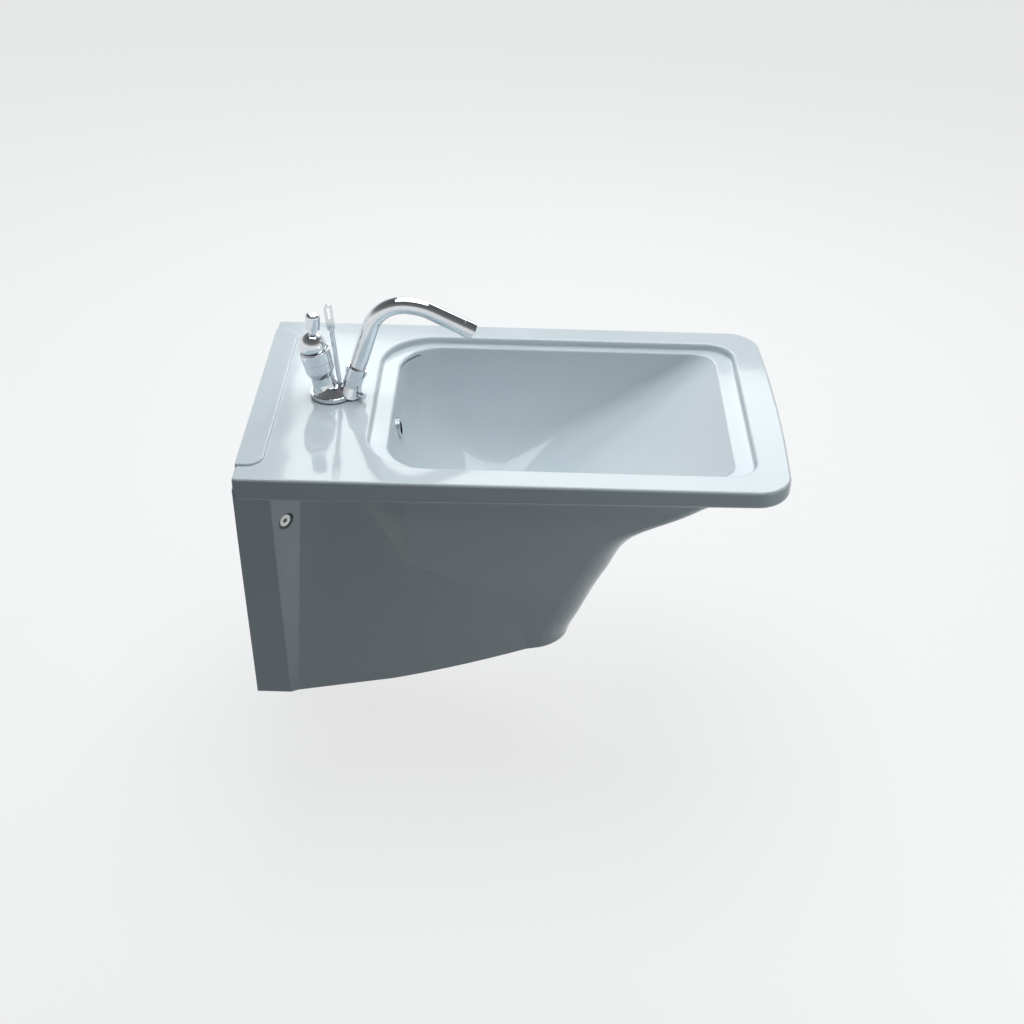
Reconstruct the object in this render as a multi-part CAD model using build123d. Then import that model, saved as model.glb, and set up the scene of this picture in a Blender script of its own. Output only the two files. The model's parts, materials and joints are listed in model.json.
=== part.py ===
from build123d import *
import math
import os

# Wall hung bidet with its one-hole tap, pop-up waste and bottle trap, in millimetres.
# X runs from the wall to the front, Y across, Z up. The pieces are drawn with the rim top at Z = 0
# and written with Z = 0 at the height of the wall bolts, which is the origin.

# Ceramic body, overall
length = 560.0
width = 350.0
height = 305.0
bolt_drop = 60.0
drawn_length = 560.0
drawn_width = 350.0
wall = 11.0
deck = 12.0
rim_band = 27.0
rim_band_front = 20.0
front_bow = 6.0
front_corner = 36.0
back_corner = 4.0
rim_underside_radius = 7.0
rim_edge_radius = 3.0

# Back slab, the coves that hide the side fixings, and the shroud
slab = 37.0
slab_taper = 44.0
cove_run = 28.0
cove_depth = 27.0
cove_closing = 20.0
shroud_front_radius = 36.0
shroud_levels = [
    # depth under the rim, set back from the front edge, half width at the front
    (deck, 173.0, 108.0),
    (110.0, 183.0, 102.0),
    (200.0, 206.0, 82.0),
    (height + 5.0, 231.0, 58.0),
]
foot_flat = 150.0
foot_rise = [(268.0, 16.0), (380.0, 46.0)]

# Tub hull under the rim
hull_rear = 168.0
hull_rear_run = 68.0
hull_rear_fall = 31.0
hull_rear_radius = 9.0
hull_front_radius = 34.0
hull_levels = [
    # depth under the rim, set back from the front edge, set in from the side
    (15.0, 42.0, 7.5),
    (47.0, 94.0, 18.0),
    (79.0, 143.0, 29.5),
    (111.0, 165.0, 42.0),
    (143.0, 175.0, 55.0),
    (175.0, 186.0, 68.0),
    (207.0, 196.0, 79.5),
    (239.0, 206.0, 90.5),
    (271.0, 215.0, 101.0),
    (height + 5.0, 225.0, 112.0),
]
hollow_depth = 100.0

# Wall ledge behind the tap
ledge_depth = 27.0
ledge_half = 150.0
ledge_height = 2.5
ledge_corner = 18.0

# Basin
rim_side = 32.0
rim_front = 36.0
tap_deck = 127.0
lip_drop = 8.0
lip_ledge = 9.0
lip_ledge_ends = 20.0
lip_rear_radius = 62.0
lip_front_radius = 30.0
lip_round = 3.0
bowl_wall = 12.0
bowl_floor = 134.0
drawn_bowl_length = 357.0
drawn_bowl_half = 134.0
bowl_levels = [
    # depth, then how far the rear, the front and the sides have come in, then the corner radii
    (lip_drop, 0.0, 0.0, 0.0, 50.0, 24.0),
    (45.0, 6.0, 52.0, 6.0, 50.0, 34.0),
    (75.0, 14.0, 100.0, 14.0, 50.0, 42.0),
    (105.0, 30.0, 150.0, 30.0, 48.0, 46.0),
    (bowl_floor, 62.0, 205.0, 62.0, 40.0, 38.0),
]

# Overflow
overflow_depth = 39.0
overflow_hole_radius = 9.0
overflow_ring_radius = 11.5
overflow_ring_gap = 0.4
channel_half = 10.0
channel_gap = 10.0
rib_wall = 7.0

# Waste
drain_from_bowl = 115.0
boss_radius = 40.0
boss_drop = 26.0
flange_radius = 32.0
flange_lip = 3.0
seat_depth = 3.0
seal = 1.5
tail_radius = 20.5
tail_bore = 17.0
tail_length = 50.0
thread_clear = 0.1
rubber = 5.0
back_nut_height = 8.0
back_nut_radius = 30.0
tee_radius = 24.5
tee_length = 34.0
tee_neck_radius = 20.95
tee_neck_length = 18.0
tee_bore = 16.5
overflow_slot = 9.0

# Pop-up linkage
plug_radius = 24.0
plug_arm = 30.0
plug_gap = 0.4
plug_seal_height = 2.0
lift_travel = 32.0
rod_radius = 2.5
ball_radius = 6.5
ball_clear = 0.05
port_radius = 13.0
port_bore = 9.0
port_length = 21.0
port_drop = 21.0
rod_reach = 132.0
lift_lean = 6.0
lift_deck_x = 91.0
link_width = 13.0
link_thickness = 1.5
link_hole = 4.0
link_overlap = 40.0
link_tail = 12.0
clevis_height = 14.0
clevis_wall = 2.0

# Trap
pipe_radius = 16.0
pipe_bore = 14.5
pipe_clear = 0.1
trap_nut_radius = 27.0
trap_nut_height = 18.0
bottle_radius = 29.0
bottle_wall = 2.5
bottle_height = 42.0
cup_height = 10.0
cup_skirt = 4.0
outlet_drop = 18.0
socket_length = 18.0
outlet_insert = 40.0
bead_radius = 17.5
bead_width = 3.0

# Wall fixings
bolt_spacing = 180.0
bolt_hole_radius = 6.5
bracket_thickness = 5.0
bracket_height = 50.0
bracket_block = 22.0
side_hole_radius = 9.5
side_screw_radius = 4.0
side_head_radius = 6.5

# Tap
tap_x = 80.0
tap_hole_radius = 17.5
flange_base_radius = 22.0
flange_base_height = 4.0
hub_radius = 18.0
hub_height = 13.0
arm_foot_x = 76.4
arm_lean = 13.5
neck_radius = 12.5
cup_radius = 15.5
cup_start = 30.0
cup_end = 42.0
collar_radius = 16.2
collar_end = 55.0
ball_height = 61.7
cap_radius = 14.5
cap_wall = 1.2
stick_lean = 3.0
cartridge_radius = 12.4
fork_radius = 11.4
pin_radius = 1.2
fork_gap = 0.3
spindle_half = 3.5
ear_width = 1.7
ear_half = 2.1
knob_radius = 8.0
knob_height = 17.0
spout_foot_x = 99.0
spout_lean = 17.0
stub_radius = 10.5
stub_length = 33.0
spout_radius = 9.0
spout_bore = 7.0
spout_rise = 115.0
spout_crest = (178.0, 107.0)
spout_bends = [38.0, 60.0]
spout_tip = (220.0, 86.5)
inlet_radius = 4.5
inlet_depth = 12.0
inlet_offset = 9.0
stud_radius = 4.0
stud_x = 69.0
stud_length = 48.0
washer_radius = 27.0

# Aerator
housing_radius = 9.5
housing_length = 13.2
nozzle_radius = 7.0
nozzle_clear = 0.05
nozzle_centre = 9.0
nozzle_bore = 4.5

low = (Align.CENTER, Align.CENTER, Align.MIN)
half = width / 2
along = length / drawn_length
across = width / drawn_width
bowl_rear = tap_deck + lip_ledge_ends
bowl_front = length - rim_front - lip_ledge_ends
bowl_half = half - rim_side - lip_ledge
bowl_along = (bowl_front - bowl_rear) / drawn_bowl_length
bowl_across = bowl_half / drawn_bowl_half
drain_x = bowl_rear + drain_from_bowl * bowl_along
parts = {}


def rod(radius, start, end):
    """A round bar along Z from one height to another."""
    return Pos(0, 0, start) * Cylinder(radius, end - start, align=low)


def ring(outer, inner, start, end):
    """A tube along Z."""
    return rod(outer, start, end) - rod(inner, start - 1, end + 1)


def cone(lower, upper, start, end):
    """A round taper along Z."""
    return Pos(0, 0, start) * Cone(lower, upper, end - start, align=low)


def block(x0, x1, y0, y1, z0, z1):
    """A box from its low and high corners."""
    return Pos((x0 + x1) / 2, (y0 + y1) / 2, (z0 + z1) / 2) * Box(x1 - x0, y1 - y0, z1 - z0)


def hexagon(radius, hole, start, end):
    """A hexagon nut, its radius over the corners."""
    return Pos(0, 0, start) * extrude(RegularPolygon(radius, 6), end - start) - rod(hole, start - 1, end + 1)


def axis_frame(x, z, lean, y=0.0):
    """A frame whose Z leans towards the front by some degrees, about the Y axis."""
    tilt = math.radians(lean)
    return Plane(origin=(x, y, z), x_dir=(math.cos(tilt), 0, -math.sin(tilt)),
                 z_dir=(math.sin(tilt), 0, math.cos(tilt))).location


def turned_corner(before, corner, after):
    """The start, middle and end of the arc that rounds a corner, or the bare corner where it has no radius."""
    x, y, radius = corner
    if not radius:
        return [(x, y)]
    ways = []
    for other_x, other_y, _ in (before, after):
        size = math.hypot(other_x - x, other_y - y)
        ways.append(((other_x - x) / size, (other_y - y) / size))
    sum_x, sum_y = ways[0][0] + ways[1][0], ways[0][1] + ways[1][1]
    size = math.hypot(sum_x, sum_y)
    half_angle = math.acos(size / 2)
    reach = radius / math.tan(half_angle)
    inwards = (radius / math.sin(half_angle) - radius) / size
    first, last = [(x + way[0] * reach, y + way[1] * reach) for way in ways]
    return [first, (x + sum_x * inwards, y + sum_y * inwards), last]


def plan_face(corners, depth):
    """A plan face at a depth, from the corners of its left half as x, y and radius, front to rear."""
    around = corners + [(x, -y, radius) for x, y, radius in reversed(corners)]
    after = around[1:] + around[:1]
    turns = [turned_corner(around[index - 1], corner, after[index]) for index, corner in enumerate(around)]
    edges = []
    for index, turn in enumerate(turns):
        edges.append(Edge.make_line((*turns[index - 1][-1], -depth), (*turn[0], -depth)))
        if len(turn) > 1:
            edges.append(Edge.make_three_point_arc(*[(*point, -depth) for point in turn]))
    return Face(Wire(edges))


def slab_half(depth):
    """Half width of the back slab, which tapers below the rim band."""
    share = max(0.0, depth - rim_band) / (height - rim_band)
    return half - slab_taper * share


def cove_end(depth):
    """Where the cove meets the side of the shroud, in plan."""
    share = depth / height
    return (slab + cove_run - cove_closing * share, half - cove_depth - (slab_taper - cove_depth + 4.0) * share)


def inset_line(start, end, inset):
    """A plan line moved inwards: a point on it and its direction."""
    dx, dy = end[0] - start[0], end[1] - start[1]
    size = math.hypot(dx, dy)
    return (start[0] + dy / size * inset, start[1] - dx / size * inset), (dx / size, dy / size)


def meet(first, second):
    """The crossing point of two plan lines."""
    (px, py), (dx, dy) = first
    (qx, qy), (ex, ey) = second
    run = ((qx - px) * ey - (qy - py) * ex) / (dx * ey - dy * ex)
    return px + dx * run, py + dy * run


def shroud_face(depth, setback, front_half, inset):
    """Plan of the slab, the coves and the shroud at one depth, moved inwards by inset."""
    back = (-inset / 5, slab_half(depth))
    front = length - setback * along - inset
    corners = [back, (slab, slab_half(depth)), cove_end(depth), (front + inset, front_half * across)]
    lines = [inset_line(a, b, inset) for a, b in zip(corners, corners[1:])]
    tip = meet(lines[2], ((front, 0.0), (0.0, 1.0)))
    bends = [meet(lines[1], lines[2]), meet(lines[0], lines[1]), (back[0], back[1] - inset)]
    return plan_face([(*tip, shroud_front_radius - inset / 2)] + [(*bend, 0) for bend in bends], depth)


def shroud(inset):
    """The slab and the shroud under the rim."""
    return loft([shroud_face(depth, setback, front_half, inset) for depth, setback, front_half in shroud_levels])


def hull(inset, above=0.0):
    """The tub hull from the underside of the rim to the foot, its rear end cut off obliquely."""
    sections = []
    for depth, setback, side_in in [level for level in hull_levels if level[0] > above]:
        side = half - side_in * across - inset
        front, turn, rear = length - setback * along - inset, hull_rear + inset / 2, hull_rear - hull_rear_run + inset
        corners = [(front, side, hull_front_radius), (turn, side, hull_rear_radius),
                   (rear, side - hull_rear_fall * across, hull_rear_radius)]
        sections.append(plan_face(corners, depth))
    return loft(sections)


def rim_plate():
    """The flat rim, thinner towards the front, with soft edges."""
    outline = [
        Edge.make_line((0, -half, 0), (length - front_bow, -half, 0)),
        Edge.make_three_point_arc((length - front_bow, -half, 0), (length, 0, 0), (length - front_bow, half, 0)),
        Edge.make_line((length - front_bow, half, 0), (0, half, 0)),
        Edge.make_line((0, half, 0), (0, -half, 0)),
    ]
    plate = extrude(Face(Wire(outline)), -2 * rim_band)
    uprights = plate.edges().filter_by(Axis.Z)
    plate = fillet(uprights.sort_by(Axis.X)[-2:], front_corner)
    plate = fillet(plate.edges().filter_by(Axis.Z).sort_by(Axis.X)[:2], back_corner)
    slope = math.atan2(rim_band - rim_band_front, length)
    under = Plane(origin=(0, 0, -rim_band), z_dir=(-math.sin(slope), 0, math.cos(slope)))
    plate = split(plate, bisect_by=under, keep=Keep.TOP)
    away = lambda edge: edge.center().X > slab / 4
    lower = plate.faces().sort_by(Axis.Z)[0].edges().filter_by(away)
    plate = fillet(lower, rim_underside_radius)
    upper = plate.faces().sort_by(Axis.Z)[-1].edges().filter_by(away)
    return fillet(upper, rim_edge_radius)


def basin_cutter():
    """What the basin leaves empty: the lip's step and the bowl, with every edge already rounded."""
    rear, front, side = tap_deck, length - rim_front, half - rim_side
    above = block(-length, 2 * length, -width, width, 0, 40)
    step = plan_face([(front, side, lip_front_radius), (rear, side, lip_rear_radius)], lip_drop)
    step = extrude(step, lip_drop + 1)
    cutter = above + step
    rim_line = [e for e in cutter.edges() if abs(e.center().Z) < 0.01 and abs(e.center().Y) < half
                and 0 < e.center().X < length]
    cutter = fillet(rim_line, lip_round)
    floor_line = [e for e in cutter.edges() if abs(e.center().Z + lip_drop) < 0.01]
    cutter = fillet(floor_line, lip_round)
    cutter += bowl(0)
    ledge_line = [e for e in cutter.edges() if abs(e.center().Z + lip_drop) < 0.01
                  and abs(e.center().Y) < side - lip_ledge + 1 and e.center().X > rear + lip_ledge]
    return fillet(ledge_line, lip_round)


def bowl(grow):
    """The bowl, or with grow the bowl and its wall."""
    sections = []
    rounder = min(bowl_along, bowl_across)
    for depth, rear_in, front_in, side_in, rear_radius, front_radius in bowl_levels:
        deeper = grow * 0.5 if depth < bowl_floor else grow
        edge = bowl_half - side_in * bowl_across + grow
        corners = [(bowl_front - front_in * bowl_along + grow, edge, front_radius * rounder + grow / 2),
                   (bowl_rear + rear_in * bowl_along - grow, edge, rear_radius * rounder + grow / 2)]
        sections.append(plan_face(corners, depth + deeper))
    return loft(sections)


def foot_cutter():
    """Everything under the rising foot of the shroud."""
    rise = [(foot_flat, 0.0)] + foot_rise
    curve = Edge.make_three_point_arc(*[(x, 0, up_by - height) for x, up_by in rise])
    deep = -2 * height
    corners = [(rise[-1][0], 0, rise[-1][1] - height), (2 * length, 0, rise[-1][1] - height),
               (2 * length, 0, deep), (-length, 0, deep), (-length, 0, -height), (foot_flat, 0, -height)]
    lines = [Edge.make_line(a, b) for a, b in zip(corners, corners[1:])]
    return extrude(Face(Wire([curve] + lines)), width, both=True)


def side_frame(side, distance):
    """A frame on the axis of a side fixing: Z points out of the cove, distance is inwards."""
    depth = bolt_drop
    outer, inner = (slab, slab_half(depth)), cove_end(depth)
    run, drop = inner[0] - outer[0], outer[1] - inner[1]
    size = math.hypot(run, drop)
    normal = (drop / size, side * run / size, 0)
    middle = ((outer[0] + inner[0]) / 2, side * (outer[1] + inner[1]) / 2, -depth)
    origin = [m - distance * n for m, n in zip(middle, normal)]
    return Plane(origin=origin, x_dir=(0, 0, 1), z_dir=normal).location


def overflow_frame():
    """A frame in the overflow hole, Z square to the rear wall of the bowl."""
    depth, rear_in = bowl_levels[1][0], bowl_levels[1][1] * bowl_along
    share = (overflow_depth - lip_drop) / (depth - lip_drop)
    lean = 90 - math.degrees(math.atan2(rear_in, depth - lip_drop))
    return axis_frame(bowl_rear + rear_in * share, -overflow_depth, lean)


def overflow_rib():
    """The ceramic around the overflow channel, behind and under the bowl."""
    rear = bowl_rear - bowl_wall - channel_gap - rib_wall + 6
    thick = channel_half + rib_wall
    bottom = bowl_floor + boss_drop
    return block(rear, rear + 30, -thick, thick, -bottom, -deck) + \
        block(rear, drain_x, -thick, thick, -bottom, -bowl_floor)


def overflow_channel():
    """The water way from the overflow hole to the throat of the waste."""
    rear = bowl_rear - bowl_wall - channel_gap + 6
    low_z = bowl_floor + boss_drop - 4
    top_z = overflow_depth - overflow_hole_radius
    upright = block(rear, rear + channel_gap, -channel_half, channel_half, -low_z, -top_z)
    level = block(rear, drain_x, -channel_half, channel_half, -low_z, -low_z + channel_gap)
    hole = overflow_frame() * rod(overflow_hole_radius, -bowl_wall - channel_gap / 2, bowl_wall)
    return upright + level + hole


def make_ceramic():
    """The glazed ceramic body, one casting."""
    solid = rim_plate() + shroud(0) + hull(0)
    ledge = plan_face([(ledge_depth, ledge_half, ledge_corner), (0, ledge_half, 0)], deck)
    ledge = extrude(ledge, deck + ledge_height)
    crest = ledge.faces().sort_by(Axis.Z)[-1].edges().filter_by(lambda e: e.center().X > 1)
    cavity = shroud(wall) + hull(wall, hollow_depth)
    keep = bowl(bowl_wall) + Pos(drain_x, 0, 0) * rod(boss_radius, -bowl_floor - boss_drop, -bowl_floor)
    keep += overflow_rib()
    cavity -= keep
    solid = solid - foot_cutter() - cavity - basin_cutter() + fillet(crest, ledge_height * 0.8)
    solid -= Pos(drain_x, 0, 0) * (rod(flange_radius + 1.5, -bowl_floor - seat_depth, -bowl_floor + 30)
                                   + rod(tail_radius + 2, -height, -bowl_floor))
    solid -= overflow_channel()
    solid -= Pos(tap_x, 0, 0) * rod(tap_hole_radius, -2 * deck, deck)
    for side in (-1, 1):
        solid -= side_frame(side, 2 * wall) * rod(side_hole_radius, 0, 4 * wall)
    return solid


def make_waste():
    """Waste flange, tee, seals and the ring in the overflow hole."""
    at = Pos(drain_x, 0, 0)
    seat = -bowl_floor - seat_depth
    lip = seat + seal
    tail_end = lip - tail_length
    flange = ring(flange_radius, tail_bore, lip, lip + flange_lip) + ring(tail_radius, tail_bore, tail_end, lip)
    flange = fillet(flange.edges().filter_by(GeomType.CIRCLE).group_by(Axis.Z)[-1], 1.0)
    slot_z = -bowl_floor - boss_drop + 4 + channel_gap / 2
    for turn in (0, 90):
        flange -= Rot(0, 0, turn) * Pos(0, 0, slot_z) * Box(3 * tail_radius, 14, overflow_slot)
    parts["waste_flange"] = at * flange
    parts["waste_upper_seal"] = at * ring(flange_radius - 1, tail_radius + thread_clear, seat, lip)
    under = -bowl_floor - boss_drop
    parts["waste_lower_seal"] = at * ring(boss_radius - 5, tail_radius + thread_clear, under - rubber, under)
    nut_top = under - rubber
    nut = hexagon(back_nut_radius, tail_radius + thread_clear, nut_top - back_nut_height, nut_top)
    parts["waste_back_nut"] = at * nut
    tee_top = nut_top - back_nut_height
    tee_low = tee_top - tee_length
    neck_low = tee_low - tee_neck_length
    tee = rod(tee_radius, tee_low, tee_top) + rod(tee_neck_radius, neck_low, tee_low)
    tee += Pos(-plug_arm, 0, tee_top - port_drop) * Rot(0, -90, 0) * rod(port_radius, -plug_arm / 2, port_length / 2)
    tee -= rod(tee_bore, neck_low - 1, tee_top) + rod(tail_radius + thread_clear, tail_end - 1, tee_top + 1)
    port = Pos(-plug_arm, 0, tee_top - port_drop) * Rot(0, -90, 0)
    tee -= port * (rod(port_bore, -5, port_length) + rod(port_bore - 2, -plug_arm, 0))
    parts["waste_tee"] = at * tee
    inner = overflow_hole_radius - 2
    trim = ring(overflow_hole_radius - 0.3, inner, -8, overflow_ring_gap)
    trim += ring(overflow_ring_radius, inner, overflow_ring_gap, overflow_ring_gap + 1.8)
    parts["overflow_ring"] = overflow_frame() * trim
    return tee_top, neck_low


def make_popup(tee_top):
    """Plug, pivot rod, link and lift rod."""
    pivot_z = tee_top - port_drop
    pivot_x = drain_x - plug_arm
    lift = axis_frame(lift_deck_x, 0, -lift_lean)
    down = lambda depth: lift_deck_x + depth * math.tan(math.radians(lift_lean))
    plane_x = rod_radius + clevis_wall + link_thickness / 2
    link_x = down(-pivot_z) + plane_x / math.cos(math.radians(lift_lean))
    arm = pivot_x - link_x
    rise = lift_travel * math.cos(math.radians(lift_lean))
    back = lift_travel * math.sin(math.radians(lift_lean))
    turn = math.atan2(rise, arm + back)
    drop = plug_arm * math.tan(turn)
    # Plug, drawn open
    seat = -bowl_floor - seat_depth + seal + flange_lip
    cap_low = seat + plug_seal_height + plug_gap + drop
    at = Pos(drain_x, 0, 0)
    cap = rod(plug_radius, cap_low, cap_low + 2.5) + cone(plug_radius, plug_radius * 0.55, cap_low + 2.5, cap_low + 5)
    cap = fillet(cap.edges().filter_by(GeomType.CIRCLE).sort_by(Axis.Z)[-1], 3)
    stem = rod(3.5, pivot_z + 8, cap_low)
    for angle in (45, 135):
        stem += Rot(0, 0, angle) * block(-tail_bore + 0.4, tail_bore - 0.4, -1, 1, cap_low - 52, cap_low - 26)
    eye = block(-1.5, 1.5, -6, 6, pivot_z - 7, pivot_z + 9)
    eye -= Pos(0, 0, pivot_z) * Rot(0, 90, 0) * rod(rod_radius + 1, -5, 5)
    parts["plug_cap"] = at * cap
    parts["plug_stem"] = at * (stem + eye)
    parts["plug_seal"] = at * ring(tail_bore + 4, 3.5 + thread_clear, cap_low - plug_seal_height, cap_low)
    # Pivot rod with its ball, and what holds the ball
    port = Pos(pivot_x, 0, pivot_z) * Rot(0, -90, 0)
    parts["pivot_rod"] = port * (rod(rod_radius, -plug_arm - 6, rod_reach) + Sphere(ball_radius))
    seat_ring = ring(port_bore - thread_clear, ball_radius + ball_clear, -4, 5)
    parts["pivot_seat"] = port * seat_ring
    nut = ring(port_radius + 3, port_radius + thread_clear, 2, port_length / 2 + 0.3)
    nut += ring(port_radius + 3, port_bore - 1.5, port_length / 2 + 0.3, port_length / 2 + 3.3)
    parts["pivot_nut"] = port * nut
    # Lift rod, clevis, link and screws, along the leaning line of the lift
    slant = math.cos(math.radians(lift_lean))
    top = 96.0 / slant
    rod_low = pivot_z / slant + 70.0
    shaft = rod(rod_radius, rod_low, top - 14)
    handle = extrude(Pos(0, top - 4) * SlotOverall(30, 9, 90) - Pos(0, top + 2) * SlotOverall(13, 3.6, 90), 3.2)
    handle = Pos(0, 1.6, 0) * Rot(90, 0, 0) * handle
    parts["lift_rod"] = lift * (shaft + handle)
    link_low = pivot_z / slant - link_tail
    link_top = rod_low + link_overlap
    strip = block(plane_x - link_thickness / 2, plane_x + link_thickness / 2, -link_width / 2, link_width / 2,
                  link_low, link_top)
    count = int((link_top - link_low - 2 * link_tail) // 14)
    for index in range(count):
        step = Pos(plane_x, 0, pivot_z / slant + 14 * index) * Rot(0, 90, 0)
        strip -= step * rod(link_hole, -5, 5)
    parts["lift_link"] = lift * strip
    clevis_z = rod_low + 10
    clevis = block(-rod_radius - 5, plane_x - link_thickness / 2, -8, 8, clevis_z, clevis_z + clevis_height)
    clevis -= rod(rod_radius + thread_clear, clevis_z - 1, clevis_z + clevis_height + 1)
    parts["lift_clevis"] = lift * clevis
    screw = lift * Pos(-rod_radius - 5, 0, clevis_z + clevis_height / 2) * Rot(0, -90, 0)
    parts["clevis_screw"] = screw * rod(4.5, 0, 6)


def make_trap(neck_low):
    """Bottle trap under the waste and its pipe to the wall."""
    at = Pos(drain_x, 0, 0)
    gasket = 2.0
    lip_z = neck_low - gasket
    nut_low = lip_z - 4
    nut = ring(trap_nut_radius, tee_neck_radius + thread_clear, lip_z, nut_low + trap_nut_height)
    nut += ring(trap_nut_radius, pipe_radius + pipe_clear, nut_low, lip_z)
    for index in range(8):
        nut += Rot(0, 0, 45 * index) * block(trap_nut_radius - 1, trap_nut_radius + 1.2, -2.5, 2.5, nut_low + 1,
                                             nut_low + trap_nut_height - 1)
    parts["trap_nut"] = at * nut
    parts["trap_washer"] = at * ring(tee_neck_radius - 0.3, pipe_radius + pipe_clear, lip_z, neck_low)
    bottle_top = nut_low - 1.5
    bottle_low = bottle_top - bottle_height
    parts["trap_dip_pipe"] = at * ring(pipe_radius, pipe_bore, bottle_low + 2, neck_low + 9)
    bottle = ring(bottle_radius, bottle_radius - bottle_wall, bottle_low, bottle_top)
    bottle += ring(bottle_radius, pipe_radius + pipe_clear, bottle_top - bottle_wall, bottle_top)
    outlet_z = bottle_top - outlet_drop
    branch = Pos(0, 0, outlet_z) * Rot(0, -90, 0)
    outer = pipe_radius + bottle_wall
    hollow = rod(bottle_radius - bottle_wall, bottle_low, bottle_top - bottle_wall)
    bottle += branch * rod(outer, bottle_radius - bottle_wall - 6, bottle_radius + socket_length) - hollow
    bottle -= branch * rod(pipe_radius + pipe_clear, bottle_radius - bottle_wall - 8, bottle_radius + socket_length + 1)
    parts["trap_bottle"] = at * bottle
    cup = ring(bottle_radius + 2.5, bottle_radius + thread_clear, bottle_low - 2, bottle_low + cup_skirt)
    cup += rod(bottle_radius + 2.5, bottle_low - 4, bottle_low - 2)
    cup += cone(bottle_radius - 8, bottle_radius, bottle_low - cup_height, bottle_low - 4)
    cup -= rod(bottle_radius - 10, bottle_low - cup_height + 3, bottle_low - 1)
    parts["trap_cup"] = at * cup
    parts["trap_cup_seal"] = at * ring(bottle_radius - 0.2, bottle_radius - bottle_wall - 0.5, bottle_low - 2, bottle_low)
    mouth = drain_x - bottle_radius - socket_length
    along = Pos(mouth, 0, outlet_z) * Rot(0, -90, 0)
    nut = ring(outer + 3.5, outer + thread_clear, -12, 0) + ring(outer + 3.5, pipe_radius + pipe_clear, 0, 4)
    parts["outlet_nut"] = along * nut
    pipe = ring(pipe_radius, pipe_bore, 0, mouth + socket_length - 4)
    pipe += ring(bead_radius, pipe_bore, outlet_insert, outlet_insert + bead_width)
    parts["outlet_pipe"] = Pos(0, 0, outlet_z) * Rot(0, 90, 0) * pipe


def make_fixings():
    """Wall brackets with the angled side screws that pull the ceramic to the wall."""
    brackets, screws, bushes = [], [], []
    for side in (-1, 1):
        bolt_y = side * bolt_spacing / 2
        start = side_frame(side, 0)
        inner = 18.0
        outer = 56.0
        block_y = side_frame(side, (inner + outer) / 2).position.Y
        ends = sorted((bolt_y - side * 2.5 * bolt_hole_radius, block_y + side * side_screw_radius / 2))
        plate = block(0, bracket_thickness, *ends, -bolt_drop - bracket_height / 2, -bolt_drop + bracket_height / 2)
        body = start * block(-15, 15, -bracket_block / 2, bracket_block / 2, -outer, -inner)
        bracket = plate + body
        bracket -= Pos(0, bolt_y, -bolt_drop) * Rot(0, 90, 0) * rod(bolt_hole_radius, -5, 3 * bracket_thickness)
        bracket -= start * rod(side_screw_radius, -outer + 4, 0)
        brackets.append(bracket)
        head = RegularPolygon(side_screw_radius * 0.7, 6)
        screw = rod(side_head_radius, -8, -2) + rod(side_screw_radius, -42, -8)
        screw = screw - Pos(0, 0, -5) * extrude(head, 5)
        screws.append(start * screw)
        bush = ring(side_hole_radius - 0.2, side_screw_radius + 0.2, -wall - 5, -8)
        bush += ring(side_hole_radius + 2.5, side_screw_radius + 0.2, -wall - 5, -wall - 2.5)
        bushes.append(start * bush)
    parts["wall_brackets"] = Compound([piece.solid() for piece in brackets])
    parts["side_screws"] = Compound([piece.solid() for piece in screws])
    parts["side_bushes"] = Compound([piece.solid() for piece in bushes])


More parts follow.
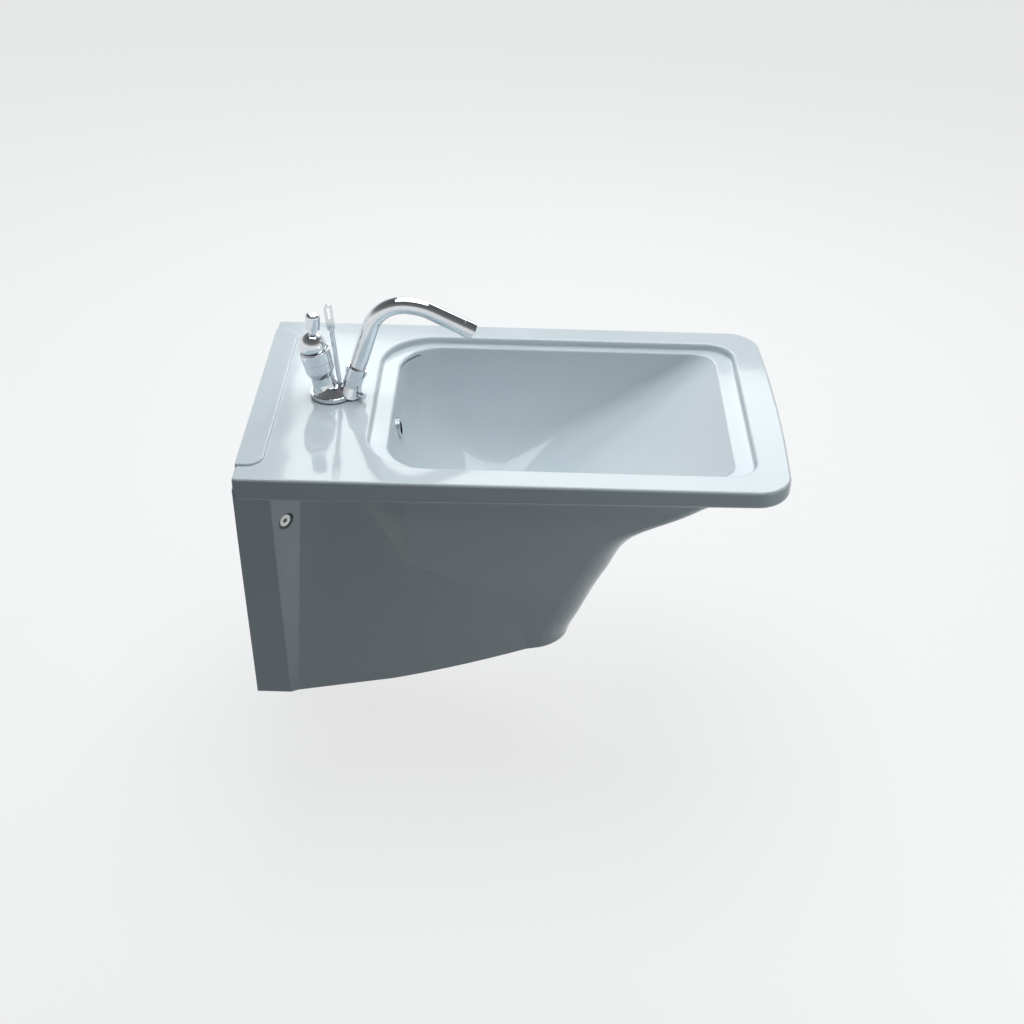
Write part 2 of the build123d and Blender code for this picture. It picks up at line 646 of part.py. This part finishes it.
def make_tap():
    """Tap casting with its base, studs and washers."""
    arm = axis_frame(arm_foot_x, 0, -arm_lean)
    spout = axis_frame(spout_foot_x, 2, spout_lean)
    lift = axis_frame(lift_deck_x, 0, -lift_lean)
    at = Pos(tap_x, 0, 0)
    base = seal
    flange = at * (rod(flange_base_radius, base, base + flange_base_height)
                   + cone(hub_radius + 2, hub_radius - 5, base + flange_base_height, base + hub_height))
    casting = flange + arm * (cone(hub_radius - 2, neck_radius, 3, 17) + rod(neck_radius, 17, 25)
                              + cone(neck_radius, cup_radius, 25, cup_start + 2) + rod(cup_radius, cup_start + 2, cup_end))
    casting += spout * (cone(hub_radius - 4, stub_radius, 1, 12) + rod(stub_radius, 12, stub_length))
    casting = casting & block(0, length, -width, width, base, height)
    casting -= arm * (rod(cartridge_radius + 0.1, cup_start + 1, cup_end + 1) + rod(4, 20, cup_end))
    casting -= spout * (rod(spout_bore + 0.6, 12, stub_length + 1) + rod(3, 6, 14))
    casting -= lift * rod(rod_radius + ball_clear, -deck, 60)
    for side in (-1, 1):
        casting -= Pos(tap_x + 4, side * inlet_offset, 0) * rod(inlet_radius, base - 1, base + inlet_depth)
    casting -= Pos(stud_x, 0, 0) * rod(stud_radius + thread_clear, base - 1, base + 8)
    turn = Pos(spout_foot_x, 0, base + 4.5) * Rot(0, 0, -35) * Rot(0, 90, 0)
    casting -= turn * rod(2.2 + thread_clear, 7.6, 20)
    parts["tap_casting"] = casting
    parts["spout_lock_screw"] = turn * (rod(2.2, 7.8, 15.2) + fillet(rod(3.6, 15.2, 21.5).edges(), 1.0))
    parts["base_gasket"] = at * ring(flange_base_radius - 1.5, tap_hole_radius - 1.5, 0, base)
    parts["mounting_stud"] = Pos(stud_x, 0, 0) * rod(stud_radius, base + 8 - stud_length, base + 8)
    plate = lambda z0, z1: at * (rod(washer_radius, z0, z1) - block(-4, 40, -15.5, 15.5, z0 - 1, z1 + 1)) \
        - Pos(stud_x, 0, 0) * rod(stud_radius + 0.25, z0 - 1, z1 + 1)
    parts["horseshoe_rubber"] = plate(-deck - 3, -deck)
    parts["horseshoe_plate"] = plate(-deck - 5, -deck - 3)
    parts["mounting_nut"] = Pos(stud_x, 0, 0) * hexagon(7.5, stud_radius + thread_clear, -deck - 12, -deck - 5)
    collar = ring(collar_radius, 13.3, cup_end, collar_end)
    collar = fillet(collar.edges().filter_by(GeomType.CIRCLE).sort_by(SortBy.RADIUS)[-2:], 1.2)
    parts["tap_collar"] = arm * collar
    body = rod(cartridge_radius, cup_start + 1.2, 46) - rod(fork_radius + ball_clear, 41.5, 47) - rod(5, 36, 42)
    parts["cartridge"] = arm * body
    parts["cartridge_nut"] = arm * ring(13.2, 9, 46, 49)


def make_stick():
    """Joystick of the tap: fork, pin, spindle, round cap and knob."""
    arm = axis_frame(arm_foot_x, 0, -arm_lean)
    centre = arm * Pos(0, 0, ball_height)
    origin = centre.position
    tilt = axis_frame(origin.X, origin.Z, stick_lean)
    ear_end = spindle_half + fork_gap + ear_width
    fork = rod(fork_radius, 41.6, 45.5) - block(-7.8, 7.8, -3.4, 3.4, 40, 46)
    for side in (-1, 1):
        low_y, high_y = sorted((side * (spindle_half + fork_gap), side * ear_end))
        fork += block(-ear_half, ear_half, low_y, high_y, 45, ball_height + ear_half)
    fork -= Pos(0, 0, ball_height) * Rot(90, 0, 0) * rod(pin_radius, -10, 10)
    parts["spindle_fork"] = arm * fork
    parts["spindle_pin"] = centre * Rot(90, 0, 0) * rod(pin_radius, -ear_end, ear_end)
    spindle = rod(2.2, -16.5, 0) + rod(3, -8, cap_radius - cap_wall) + Rot(90, 0, 0) * rod(4.2, -spindle_half, spindle_half)
    spindle -= Rot(90, 0, 0) * rod(pin_radius + ball_clear, -10, 10)
    parts["stick_spindle"] = tilt * spindle
    shell = Sphere(cap_radius) - Sphere(cap_radius - cap_wall)
    shell -= block(-20, 20, -20, 20, -20, -cap_radius * math.sin(math.radians(45)))
    parts["stick_cap"] = tilt * (shell - rod(3, 5, 20))
    knob_low = cap_radius + 5
    stick = rod(4.2, cap_radius - 0.6, knob_low) + rod(knob_radius, knob_low, knob_low + knob_height)
    stick = stick - Sphere(cap_radius + ball_clear)
    crown = stick.edges().filter_by(GeomType.CIRCLE).sort_by(Axis.Z)
    stick = fillet([crown[-1]], 4)
    parts["stick_knob"] = tilt * stick


def make_spout():
    """Swan neck spout, its nut and the swivel aerator."""
    foot = axis_frame(spout_foot_x, 2, spout_lean)
    start = (foot * Pos(0, 0, stub_length)).position
    bend = (foot * Pos(0, 0, spout_rise)).position
    corners = [tuple(start), tuple(bend)] + [(x, 0, z) for x, z in (spout_crest, spout_tip)]
    path = FilletPolyline(*corners, radius=spout_bends)
    section = Plane(origin=path @ 0, z_dir=path % 0)
    tube = sweep(section * Circle(spout_radius), path=path)
    bore = sweep(section * Circle(spout_bore), path=path)
    spigot = foot * (ring(spout_bore + 0.5, spout_bore - 1.5, 12.5, stub_length)
                     + ring(spout_radius, spout_bore - 1.5, stub_length, stub_length + 3))
    bore += foot * rod(spout_bore - 1.5, stub_length - 1, stub_length + 6)
    parts["spout_tube"] = tube + spigot - bore
    nut = ring(stub_radius + 1.2, stub_radius + thread_clear, stub_length - 5, stub_length)
    nut += ring(stub_radius + 1.2, spout_radius + 0.2, stub_length, stub_length + 2)
    parts["spout_nut"] = foot * nut
    way = path % 1
    lean = math.degrees(math.atan2(way.X, way.Z))
    tip = axis_frame(spout_tip[0], spout_tip[1], lean)
    housing = ring(housing_radius, nozzle_radius + nozzle_clear, 0, housing_length)
    housing = housing - rod(nozzle_radius + 0.4, -1, 0)
    lip = ring(housing_radius, nozzle_radius - 0.3, housing_length - 1.2, housing_length)
    parts["aerator_housing"] = tip * (housing + lip)
    ball = Pos(0, 0, nozzle_centre) * Sphere(nozzle_radius)
    ball = ball & rod(nozzle_radius, nozzle_centre - 5.2, nozzle_centre + 5.4)
    parts["spray_nozzle"] = tip * (ball - rod(nozzle_bore, -5, 30))
    mesh = rod(nozzle_bore, nozzle_centre, nozzle_centre + 2)
    hole = rod(0.6, nozzle_centre - 1, nozzle_centre + 3)
    mesh -= hole
    for index in range(6):
        mesh -= Rot(0, 0, 60 * index) * Pos(2.6, 0, 0) * hole
    parts["flow_screen"] = tip * mesh
    pivot = (tip * Pos(0, 0, nozzle_centre)).position


parts["ceramic_body"] = make_ceramic()
tee_top_z, neck_low_z = make_waste()
make_popup(tee_top_z)
make_trap(neck_low_z)
make_fixings()
make_tap()
make_stick()
make_spout()

os.makedirs("parts", exist_ok=True)
for name, shape in parts.items():
    export_step(Pos(0, 0, bolt_drop) * shape, "parts/" + name + ".step")
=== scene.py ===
import bpy
import json
import math
from mathutils import Matrix, Vector


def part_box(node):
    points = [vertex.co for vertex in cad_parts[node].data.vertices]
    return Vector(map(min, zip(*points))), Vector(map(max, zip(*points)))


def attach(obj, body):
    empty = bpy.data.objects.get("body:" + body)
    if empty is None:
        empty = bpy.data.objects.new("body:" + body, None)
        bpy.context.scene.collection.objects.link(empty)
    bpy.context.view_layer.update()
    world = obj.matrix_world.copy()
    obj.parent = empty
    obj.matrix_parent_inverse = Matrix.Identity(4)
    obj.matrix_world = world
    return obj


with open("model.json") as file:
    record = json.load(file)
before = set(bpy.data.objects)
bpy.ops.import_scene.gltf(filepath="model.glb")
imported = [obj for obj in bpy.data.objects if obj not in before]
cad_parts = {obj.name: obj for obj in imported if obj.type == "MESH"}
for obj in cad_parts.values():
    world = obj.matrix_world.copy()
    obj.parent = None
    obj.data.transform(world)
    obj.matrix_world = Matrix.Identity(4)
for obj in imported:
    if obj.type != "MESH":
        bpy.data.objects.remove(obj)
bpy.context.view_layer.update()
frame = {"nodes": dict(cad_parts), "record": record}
nodes = frame["nodes"]
print("loaded", len(nodes), "solids")


# ---- camera, floor and light

camera = {
    "focalPixels": 1574.4,
    "place": (0.277924, -1.482750, 0.886328),
    "pitch": 0.579452,      # down, radians
    "yaw": -0.000498,
    "roll": 0.026989,
}


def placeCamera(spec):
    pitch, yaw, roll = spec["pitch"], spec["yaw"], spec["roll"]
    ahead = Vector((math.sin(yaw) * math.cos(pitch), math.cos(yaw) * math.cos(pitch), -math.sin(pitch)))
    side = Vector((math.cos(yaw), -math.sin(yaw), 0))
    up = side.cross(ahead)
    right = side * math.cos(roll) + up * math.sin(roll)
    top = up * math.cos(roll) - side * math.sin(roll)
    lens = bpy.data.cameras.new("photoLens")
    lens.sensor_width = 36
    lens.lens = spec["focalPixels"] * 36 / 1024
    lens.clip_end = 60
    eye = bpy.data.objects.new("photoCamera", lens)
    eye.matrix_world = Matrix((
        (right.x, top.x, -ahead.x, spec["place"][0]),
        (right.y, top.y, -ahead.y, spec["place"][1]),
        (right.z, top.z, -ahead.z, spec["place"][2]),
        (0, 0, 0, 1),
    ))
    bpy.context.scene.collection.objects.link(eye)
    bpy.context.scene.camera = eye


placeCamera(camera)


def newMaterial(name):
    material = bpy.data.materials.new(name)
    material.use_nodes = True
    tree = material.node_tree
    shader = tree.nodes["Principled BSDF"]
    return material, tree, shader


def addNode(tree, kind, links=None, **values):
    # values go to properties or to sockets, links are (socket, source)
    node = tree.nodes.new(kind)
    for key, value in values.items():
        if hasattr(node, key):
            setattr(node, key, value)
        else:
            node.inputs[key].default_value = value
    for socket, source in (links or {}).items():
        tree.links.new(source, node.inputs[socket])
    return node


def seenRays(tree):
    # 1 for the rays that the camera, metal and glass see, 0 for the rays that light the object
    path = addNode(tree, "ShaderNodeLightPath").outputs
    shiny = addNode(tree, "ShaderNodeMath", {0: path["Is Camera Ray"], 1: path["Is Glossy Ray"]},
                    operation="MAXIMUM")
    return addNode(tree, "ShaderNodeMath", {0: shiny.outputs[0], 1: path["Is Transmission Ray"]},
                   operation="MAXIMUM")


# the near-black floor colour is painted shade: the floor shows it only to the rays that light the object, so little
# bounce light reaches the object's underside
floor = {
    "size": 14.0, "level": -0.342, "whiteShare": 0.74,
    "paint": (0.92, 0.93, 0.94), "paintedShadeBounce": (0.045, 0.07, 0.085),
}


def makeFloor(spec):
    half = spec["size"] / 2
    mesh = bpy.data.meshes.new("floor")
    mesh.from_pydata([(-half, -half, 0), (half, -half, 0), (half, half, 0), (-half, half, 0)], [], [(0, 1, 2, 3)])
    mesh.transform(Matrix.Translation((0.28, 0, spec["level"])))
    ground = bpy.data.objects.new("floor", mesh)
    bpy.context.scene.collection.objects.link(ground)
    material, tree, shader = newMaterial("paleFloor")
    shader.inputs["Roughness"].default_value = 0.8
    # the floor shows white to the camera and in metal, and keeps part of its shadow; to the rays that light the
    # object it shows its near-black colour, a painted shade that keeps the object's lower and near sides dark
    seen = seenRays(tree)
    paint = addNode(tree, "ShaderNodeMix", {0: seen.outputs[0]}, data_type="RGBA")
    paint.inputs[6].default_value = (*spec["paintedShadeBounce"], 1)
    paint.inputs[7].default_value = (*spec["paint"], 1)
    tree.links.new(paint.outputs[2], shader.inputs["Base Color"])
    share = addNode(tree, "ShaderNodeMath", {0: seen.outputs[0]}, operation="MULTIPLY")
    share.inputs[1].default_value = spec["whiteShare"]
    white = addNode(tree, "ShaderNodeEmission")
    white.inputs["Color"].default_value = (1, 1, 1, 1)
    mix = addNode(tree, "ShaderNodeMixShader", {0: share.outputs[0], 1: shader.outputs[0], 2: white.outputs[0]})
    tree.links.new(mix.outputs[0], tree.nodes["Material Output"].inputs["Surface"])
    mesh.materials.append(material)


makeFloor(floor)

studio = {
    "zenith": (0.78, 0.92, 1.0), "zenithStrength": 0.45,
    "middle": (0.60, 0.86, 1.0), "middleStrength": 0.04,
    "horizon": (0.45, 0.80, 1.0), "horizonStrength": 0.010,
    "backdrop": (0.90, 0.20, 0.10),
    "top": {"at": (0.28, 0.30, 2.1), "aim": (0.28, 0.0, 0.0), "size": (1.7, 1.5), "power": 23,
            "colour": (0.93, 0.98, 1.0)},
    "key": {"at": (0.45, 1.35, 1.15), "aim": (0.25, 0.0, 0.0), "size": (1.4, 0.8), "power": 11,
            "colour": (0.97, 0.99, 1.0)},
    "side": {"at": (1.15, -0.62, -0.18), "aim": (0.40, -0.05, -0.08), "size": (0.35, 0.3), "power": 1.0,
             "colour": (0.88, 0.97, 1.0)},
}


def makeWorld(spec):
    world = bpy.data.worlds.new("studio")
    bpy.context.scene.world = world
    world.use_nodes = True
    tree = world.node_tree
    background = tree.nodes["Background"]
    where = addNode(tree, "ShaderNodeTexCoord")
    split = addNode(tree, "ShaderNodeSeparateXYZ", {0: where.outputs["Generated"]})
    ramp = addNode(tree, "ShaderNodeValToRGB", {0: split.outputs["Z"]})
    ramp.color_ramp.elements.new(0.62)
    for stop, place, name in zip(ramp.color_ramp.elements, (0.05, 0.62, 0.95), ("horizon", "middle", "zenith")):
        stop.position = place
        stop.color = (*[c * spec[name + "Strength"] for c in spec[name]], 1)
    # a pale backdrop near the horizon for the eye and in metal, darker overhead
    pale = addNode(tree, "ShaderNodeValToRGB", {0: split.outputs["Z"]})
    pale.color_ramp.elements.new(0.5)
    for stop, place, tone in zip(pale.color_ramp.elements, (0.12, 0.45, 0.9), spec["backdrop"]):
        stop.position = place
        stop.color = (tone, tone, tone, 1)
    seen = seenRays(tree)
    sky = addNode(tree, "ShaderNodeMix", {0: seen.outputs[0], 6: ramp.outputs[0], 7: pale.outputs[0]},
                  data_type="RGBA")
    tree.links.new(sky.outputs[2], background.inputs["Color"])
    background.inputs["Strength"].default_value = 1.0


def makeLamp(name, spec):
    lamp = bpy.data.lights.new(name, "AREA")
    lamp.shape = "RECTANGLE"
    lamp.size, lamp.size_y = spec["size"]
    lamp.energy = spec["power"]
    lamp.color = spec["colour"]
    holder = bpy.data.objects.new(name, lamp)
    way = Vector(spec["aim"]) - Vector(spec["at"])
    holder.matrix_world = Matrix.Translation(spec["at"]) @ way.to_track_quat("-Z", "Y").to_matrix().to_4x4()
    bpy.context.scene.collection.objects.link(holder)


makeWorld(studio)
makeLamp("topLamp", studio["top"])
makeLamp("keyLamp", studio["key"])
makeLamp("sideLamp", studio["side"])
bpy.context.scene.view_settings.view_transform = "Standard"
print("camera, floor and lamps are set")


# ---- finishes

glazeLook = {
    "white": (0.82, 0.875, 0.90), "shade": (0.79, 0.85, 0.88), "cloudScale": 7.0,
    "pinholeScale": 90.0, "pinholeSize": (0.02, 0.06), "pinholeTone": (0.93, 1.0), "pinholeShare": 0.6,
    "roughness": (0.05, 0.11), "smearScale": 18.0, "refraction": 1.52,
    "waveScale": 14.0, "waveStrength": 0.35, "waveHeight": 0.0012,
    "peelScale": 260.0, "peelStrength": 0.12, "peelHeight": 0.0002,
}


def glazedChina(spec):
    # fired glaze: a slow waviness, a fine orange peel, faint tone clouds and a few pinholes
    material, tree, shader = newMaterial("glazedChina")
    place = addNode(tree, "ShaderNodeTexCoord").outputs["Object"]
    cloud = addNode(tree, "ShaderNodeTexNoise", {"Vector": place},
                    Scale=spec["cloudScale"], Detail=3.0, Roughness=0.5)
    tone = addNode(tree, "ShaderNodeValToRGB", {0: cloud.outputs["Fac"]})
    tone.color_ramp.elements[0].position, tone.color_ramp.elements[1].position = 0.35, 0.65
    tone.color_ramp.elements[0].color = (*spec["shade"], 1)
    tone.color_ramp.elements[1].color = (*spec["white"], 1)
    speck = addNode(tree, "ShaderNodeTexVoronoi", {"Vector": place}, Scale=spec["pinholeScale"])
    dot = addNode(tree, "ShaderNodeMapRange", {"Value": speck.outputs["Distance"]})
    dot.inputs["From Min"].default_value, dot.inputs["From Max"].default_value = spec["pinholeSize"]
    dot.inputs["To Min"].default_value, dot.inputs["To Max"].default_value = spec["pinholeTone"]
    dots = addNode(tree, "ShaderNodeMix", {6: tone.outputs[0], 7: dot.outputs[0]}, data_type="RGBA",
                   blend_type="MULTIPLY")
    dots.inputs[0].default_value = spec["pinholeShare"]
    tree.links.new(dots.outputs[2], shader.inputs["Base Color"])
    smear = addNode(tree, "ShaderNodeTexNoise", {"Vector": place}, Scale=spec["smearScale"], Detail=4.0)
    gloss = addNode(tree, "ShaderNodeMapRange", {"Value": smear.outputs["Fac"]})
    gloss.inputs["To Min"].default_value, gloss.inputs["To Max"].default_value = spec["roughness"]
    tree.links.new(gloss.outputs[0], shader.inputs["Roughness"])
    wave = addNode(tree, "ShaderNodeTexNoise", {"Vector": place}, Scale=spec["waveScale"], Detail=1.0)
    peel = addNode(tree, "ShaderNodeTexNoise", {"Vector": place}, Scale=spec["peelScale"], Detail=2.0)
    lowBump = addNode(tree, "ShaderNodeBump", {"Height": wave.outputs["Fac"]},
                      Strength=spec["waveStrength"], Distance=spec["waveHeight"])
    topBump = addNode(tree, "ShaderNodeBump", {"Height": peel.outputs["Fac"], "Normal": lowBump.outputs[0]},
                      Strength=spec["peelStrength"], Distance=spec["peelHeight"])
    tree.links.new(topBump.outputs[0], shader.inputs["Normal"])
    shader.inputs["IOR"].default_value = spec["refraction"]
    return material


def metalFinish(name, spec):
    # plated or turned metal: tone clouds, smudged gloss and a fine grain that may run one way
    material, tree, shader = newMaterial(name)
    place = addNode(tree, "ShaderNodeTexCoord").outputs["Object"]
    turned = addNode(tree, "ShaderNodeMapping", {"Vector": place})
    turned.inputs["Scale"].default_value = spec["stretch"]
    cloud = addNode(tree, "ShaderNodeTexNoise", {"Vector": place}, Scale=55.0, Detail=4.0, Roughness=0.6)
    tone = addNode(tree, "ShaderNodeValToRGB", {0: cloud.outputs["Fac"]})
    tone.color_ramp.elements[0].position, tone.color_ramp.elements[1].position = 0.3, 0.7
    tone.color_ramp.elements[0].color = (*spec["dark"], 1)
    tone.color_ramp.elements[1].color = (*spec["light"], 1)
    tree.links.new(tone.outputs[0], shader.inputs["Base Color"])
    smudge = addNode(tree, "ShaderNodeTexNoise", {"Vector": place}, Scale=120.0, Detail=5.0, Roughness=0.65)
    gloss = addNode(tree, "ShaderNodeMapRange", {"Value": smudge.outputs["Fac"]})
    gloss.inputs["From Min"].default_value, gloss.inputs["From Max"].default_value = 0.3, 0.75
    gloss.inputs["To Min"].default_value, gloss.inputs["To Max"].default_value = spec["roughness"]
    tree.links.new(gloss.outputs[0], shader.inputs["Roughness"])
    grain = addNode(tree, "ShaderNodeTexNoise", {"Vector": turned.outputs[0]}, Scale=spec["grainScale"], Detail=3.0)
    relief = addNode(tree, "ShaderNodeBump", {"Height": grain.outputs["Fac"]},
                     Strength=spec["bump"], Distance=0.0002)
    tree.links.new(relief.outputs[0], shader.inputs["Normal"])
    shader.inputs["Metallic"].default_value = 1.0
    return material


def mouldedFinish(name, spec):
    # rubber and plastic from a mould: a matt skin with a small grain
    material, tree, shader = newMaterial(name)
    place = addNode(tree, "ShaderNodeTexCoord").outputs["Object"]
    cloud = addNode(tree, "ShaderNodeTexNoise", {"Vector": place}, Scale=80.0, Detail=3.0)
    tone = addNode(tree, "ShaderNodeValToRGB", {0: cloud.outputs["Fac"]})
    tone.color_ramp.elements[0].color = (*spec["dark"], 1)
    tone.color_ramp.elements[1].color = (*spec["light"], 1)
    tree.links.new(tone.outputs[0], shader.inputs["Base Color"])
    grain = addNode(tree, "ShaderNodeTexVoronoi", {"Vector": place}, Scale=spec["grainScale"])
    relief = addNode(tree, "ShaderNodeBump", {"Height": grain.outputs["Distance"]},
                     Strength=spec["bump"], Distance=0.0001)
    tree.links.new(relief.outputs[0], shader.inputs["Normal"])
    gloss = addNode(tree, "ShaderNodeMapRange", {"Value": cloud.outputs["Fac"]})
    gloss.inputs["To Min"].default_value, gloss.inputs["To Max"].default_value = spec["roughness"]
    tree.links.new(gloss.outputs[0], shader.inputs["Roughness"])
    return material


chromeLook = {"light": (0.80, 0.83, 0.86), "dark": (0.70, 0.74, 0.78), "roughness": (0.03, 0.12),
              "grainScale": 900, "bump": 0.03, "stretch": (1, 1, 1)}
zincLook = {"light": (0.62, 0.62, 0.60), "dark": (0.45, 0.46, 0.46), "roughness": (0.28, 0.50),
            "grainScale": 500, "bump": 0.25, "stretch": (1, 1, 1)}
brassLook = {"light": (0.76, 0.60, 0.31), "dark": (0.58, 0.44, 0.20), "roughness": (0.22, 0.42),
             "grainScale": 700, "bump": 0.3, "stretch": (1, 1, 14)}
rubberLook = {"light": (0.030, 0.030, 0.032), "dark": (0.012, 0.012, 0.013), "roughness": (0.55, 0.8),
              "grainScale": 900, "bump": 0.3}
plasticLook = {"light": (0.80, 0.81, 0.82), "dark": (0.72, 0.73, 0.74), "roughness": (0.3, 0.5),
               "grainScale": 1200, "bump": 0.15}

finishes = {
    "glaze": glazedChina(glazeLook),
    "chrome": metalFinish("polishedChrome", chromeLook),
    "steel": metalFinish("zincPlate", zincLook),
    "brass": metalFinish("turnedBrass", brassLook),
    "rubber": mouldedFinish("blackRubber", rubberLook),
    "plastic": mouldedFinish("mouldedPlastic", plasticLook),
}

for part in frame["record"]["subparts"]:
    mesh = nodes[part["node"]].data
    mesh.materials.clear()
    mesh.materials.append(finishes[part["material_slot"]])
print("finishes are on")


# ---- thread on the stud under the tap, along the length that the nut leaves bare

studThread = {"pitch": 0.00125, "crest": 0.00032, "sunk": 0.0002}


def threadTree():
    tree = bpy.data.node_groups.new("studThread", "GeometryNodeTree")
    tree.interface.new_socket("Geometry", in_out="OUTPUT", socket_type="NodeSocketGeometry")
    for name in ("Radius", "Height", "Turns", "Crest"):
        tree.interface.new_socket(name, in_out="INPUT", socket_type="NodeSocketFloat")
    tree.interface.new_socket("Finish", in_out="INPUT", socket_type="NodeSocketMaterial")
    given = tree.nodes.new("NodeGroupInput").outputs
    winding = addNode(tree, "GeometryNodeCurveSpiral", {
        "Rotations": given["Turns"], "Start Radius": given["Radius"],
        "End Radius": given["Radius"], "Height": given["Height"],
    }, Resolution=24)
    profile = addNode(tree, "GeometryNodeCurvePrimitiveCircle", {"Radius": given["Crest"]}, Resolution=6)
    thread = addNode(tree, "GeometryNodeCurveToMesh",
                     {"Curve": winding.outputs[0], "Profile Curve": profile.outputs[0]})
    thread.inputs["Fill Caps"].default_value = True
    whole = addNode(tree, "GeometryNodeRealizeInstances", {0: thread.outputs[0]})
    dressed = addNode(tree, "GeometryNodeSetMaterial", {"Geometry": whole.outputs[0], "Material": given["Finish"]})
    end = tree.nodes.new("NodeGroupOutput")
    tree.links.new(dressed.outputs[0], end.inputs[0])
    return tree


def makeStudThread(spec):
    low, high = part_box("mounting_stud")
    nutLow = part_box("mounting_nut")[0][2]
    radius = (high[0] - low[0]) / 2 - spec["sunk"]
    height = nutLow - low[2] - 2 * spec["pitch"]
    tree = threadTree()
    carrier = bpy.data.objects.new("threadCarrier", bpy.data.meshes.new("threadCarrier"))
    bpy.context.scene.collection.objects.link(carrier)
    winder = carrier.modifiers.new("thread", "NODES")
    winder.node_group = tree
    sizes = {"Radius": radius, "Height": height, "Turns": height / spec["pitch"],
             "Crest": spec["crest"], "Finish": finishes["steel"]}
    for item in tree.interface.items_tree:
        if item.in_out == "INPUT":
            winder[item.identifier] = sizes[item.name]
    made = carrier.evaluated_get(bpy.context.evaluated_depsgraph_get())
    mesh = bpy.data.meshes.new_from_object(made)
    bpy.data.objects.remove(carrier)
    mesh.transform(Matrix.Translation(((low[0] + high[0]) / 2, 0, low[2] + spec["pitch"])))
    thread = bpy.data.objects.new("stud_thread", mesh)
    bpy.context.scene.collection.objects.link(thread)
    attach(thread, "bidet")
    return len(mesh.polygons)


print("stud thread has", makeStudThread(studThread), "faces")
